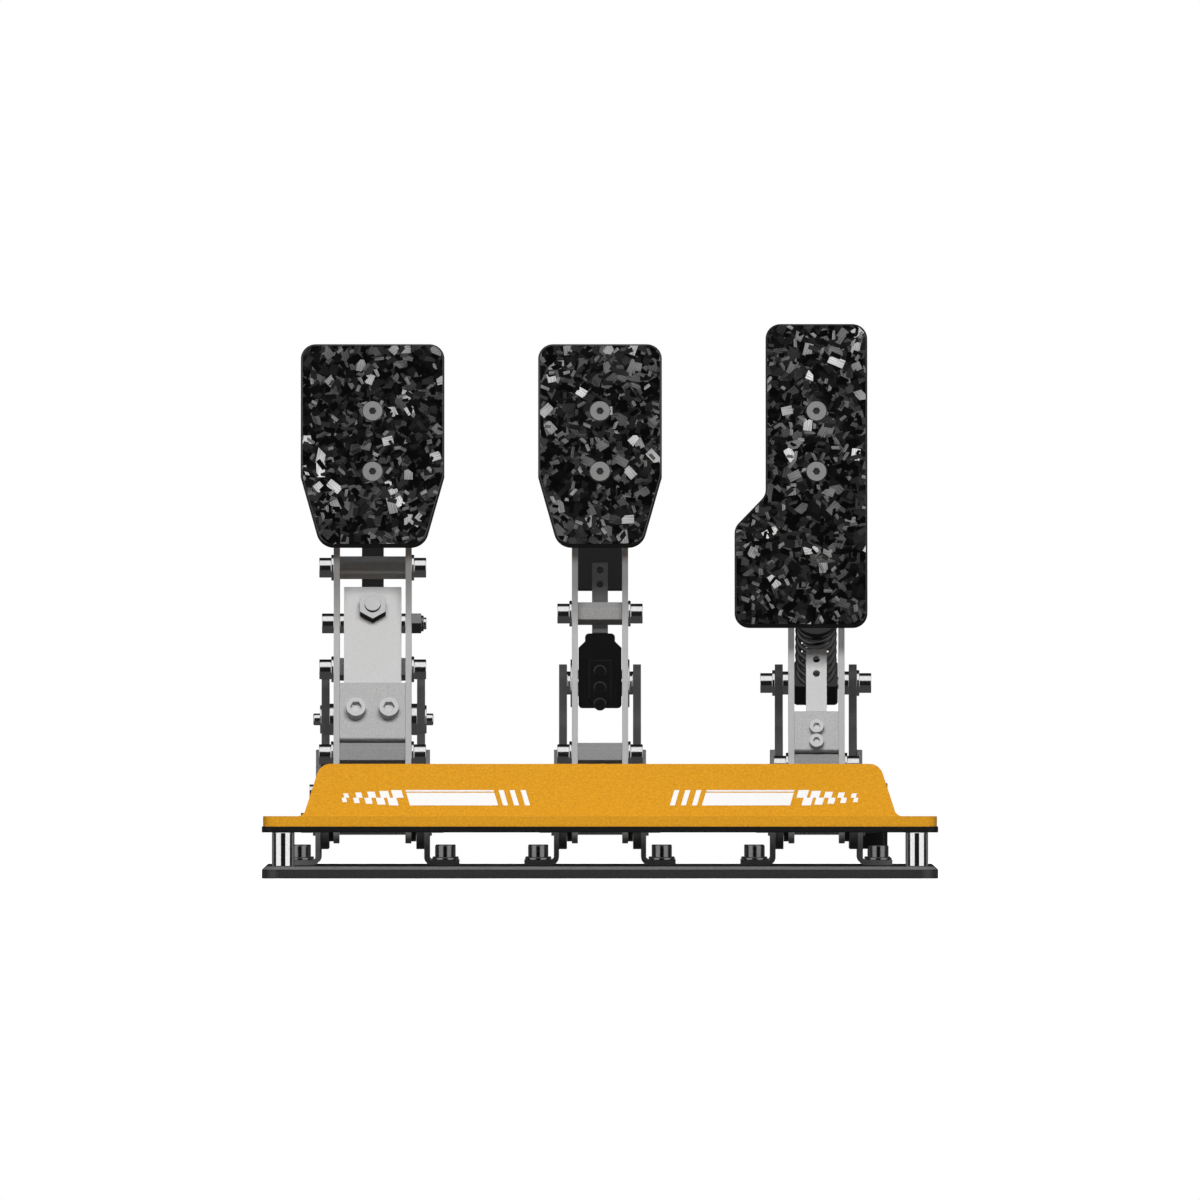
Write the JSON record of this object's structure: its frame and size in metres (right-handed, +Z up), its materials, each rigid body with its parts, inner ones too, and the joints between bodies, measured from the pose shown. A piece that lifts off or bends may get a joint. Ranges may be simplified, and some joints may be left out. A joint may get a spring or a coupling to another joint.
{
  "type": "sim racing pedal set",
  "caption": "Floor-standing game pedal set: hinged pedals with carbon foot plates on sprung struts, between steel brackets on a plate with a raised orange heel rest.",
  "frame": {"origin": "middle of the underside of the base plate", "axes": "+X to the driver's right, +Y away from the driver, +Z up"},
  "size_m": [0.337, 0.3, 0.2771],
  "materials": {
    "dark_plate": "satin powder coat",
    "black_deck": "satin black",
    "orange_sheet": "fine textured powder coat",
    "steel_bracket": "fine textured dark grey coat",
    "bright_post": "polished",
    "dark_screw": "black oxide",
    "grey_screw": "matte grey",
    "steel": "turned",
    "bright_shell": "plated",
    "spacer_steel": "satin",
    "bead_blasted": "bead blasted",
    "grey_block": "grainy anodised",
    "bush": "turned bronze",
    "carbon": "glossy forged carbon fibre",
    "black_plastic": "fine matte",
    "black_brace": "matte",
    "spring_wire": "black wire",
    "elastomer": "matte"
  },
  "bodies": {
    "base": {"base_plate": "dark_plate", "heel_deck": "black_deck", "heel_plate": "orange_sheet", "deck_posts": "bright_post", "cover_screws": "dark_screw", "bracket_bolts": "dark_screw", "upright_bolts": "dark_screw", "trunnion_bolts": "dark_screw", "pivot_axles": "steel", "pivot_screws": "dark_screw", "controller_box": "black_plastic", "controller_lid": "black_plastic", "usb_socket": "bright_shell", "left_side_brackets": "steel_bracket", "left_uprights": "dark_plate", "middle_side_brackets": "steel_bracket", "middle_uprights": "dark_plate", "right_side_brackets": "steel_bracket", "right_uprights": "dark_plate"},
    "left_pedal": {"left_arms": "bead_blasted", "left_pivot_bushes": "bush", "left_hex_spacers": "spacer_steel", "left_arm_screws": "dark_screw", "left_face_bracket": "bead_blasted", "left_face_plate": "carbon", "left_face_screws": "grey_screw", "left_clamp_block": "grey_block", "left_load_cell": "bead_blasted", "left_load_stud": "steel", "left_rear_brace": "black_brace"},
    "left_block": {"left_swivel_block": "grey_block", "left_elastomers": "elastomer", "left_stack_discs": "steel"},
    "left_rod": {"left_strut_rod": "steel"},
    "middle_pedal": {"middle_arms": "bead_blasted", "middle_pivot_bushes": "bush", "middle_hex_spacers": "spacer_steel", "middle_arm_screws": "dark_screw", "middle_face_bracket": "bead_blasted", "middle_face_plate": "carbon", "middle_face_screws": "grey_screw", "middle_sensor_bar": "bead_blasted", "middle_rear_brace": "black_brace"},
    "middle_block": {"middle_swivel_block": "grey_block", "middle_spring": "spring_wire"},
    "middle_rod": {"middle_strut_rod": "steel", "middle_cartridge": "black_plastic"},
    "right_pedal": {"right_arms": "bead_blasted", "right_pivot_bushes": "bush", "right_hex_spacers": "spacer_steel", "right_arm_screws": "dark_screw", "right_face_bracket": "bead_blasted", "right_face_plate": "carbon", "right_face_screws": "grey_screw", "right_clamp_block": "grey_block", "right_sensor_bar": "bead_blasted"},
    "right_block": {"right_swivel_block": "grey_block", "right_spring": "spring_wire"},
    "right_rod": {"right_strut_rod": "steel"}
  },
  "joints": [
    {"name": "left_pedal_hinge", "type": "hinge", "parent": "base", "child": "left_pedal", "pos_m": [-0.114, -0.00033, 0.0271], "axis": [-1, 0, 0], "range_deg": [0, 6], "stiffness_Nm_per_rad": 60, "springref_deg": -2.86},
    {"name": "left_block_swivel", "type": "hinge", "parent": "base", "child": "left_block", "pos_m": [-0.114, 0.112, 0.0787], "axis": [-1, 0, 0], "range_deg": [0, 1.95]},
    {"name": "left_rod_slide", "type": "slide", "parent": "left_block", "child": "left_rod", "axis": [0, 0.7921, -0.6104], "range_m": [0, 0.01181], "deforming": ["left_elastomers", "left_stack_discs"]},
    {"name": "middle_pedal_hinge", "type": "hinge", "parent": "base", "child": "middle_pedal", "pos_m": [0, -0.00033, 0.0271], "axis": [-1, 0, 0], "range_deg": [0, 14], "stiffness_Nm_per_rad": 25, "springref_deg": -11.46},
    {"name": "middle_block_swivel", "type": "hinge", "parent": "base", "child": "middle_block", "pos_m": [0, 0.107, 0.097], "axis": [-1, 0, 0], "range_deg": [-9.13, 0]},
    {"name": "middle_rod_slide", "type": "slide", "parent": "middle_block", "child": "middle_rod", "axis": [0, 1, 0.0001], "range_m": [0, 0.0158], "deforming": ["middle_spring"]},
    {"name": "right_pedal_hinge", "type": "hinge", "parent": "base", "child": "right_pedal", "pos_m": [0.1085, -0.00033, 0.0271], "axis": [-1, 0, 0], "range_deg": [0, 14], "stiffness_Nm_per_rad": 12, "springref_deg": -14.32},
    {"name": "right_block_swivel", "type": "hinge", "parent": "base", "child": "right_block", "pos_m": [0.1085, 0.107, 0.097], "axis": [-1, 0, 0], "range_deg": [0, 3.23]},
    {"name": "right_rod_slide", "type": "slide", "parent": "right_block", "child": "right_rod", "axis": [0, 0.8125, -0.583], "range_m": [0, 0.02973], "deforming": ["right_spring"]}
  ],
  "couplings": [
    {"joint": "left_block_swivel", "follows": "left_pedal_hinge", "ratio": 0.24184},
    {"joint": "left_rod_slide", "follows": "left_pedal_hinge", "m_per_rad": 0.1099},
    {"joint": "middle_block_swivel", "follows": "middle_pedal_hinge", "ratio": -0.61622},
    {"joint": "middle_rod_slide", "follows": "middle_pedal_hinge", "m_per_rad": 0.063444},
    {"joint": "right_block_swivel", "follows": "right_pedal_hinge", "ratio": 0.19505},
    {"joint": "right_rod_slide", "follows": "right_pedal_hinge", "m_per_rad": 0.12045}
  ]
}
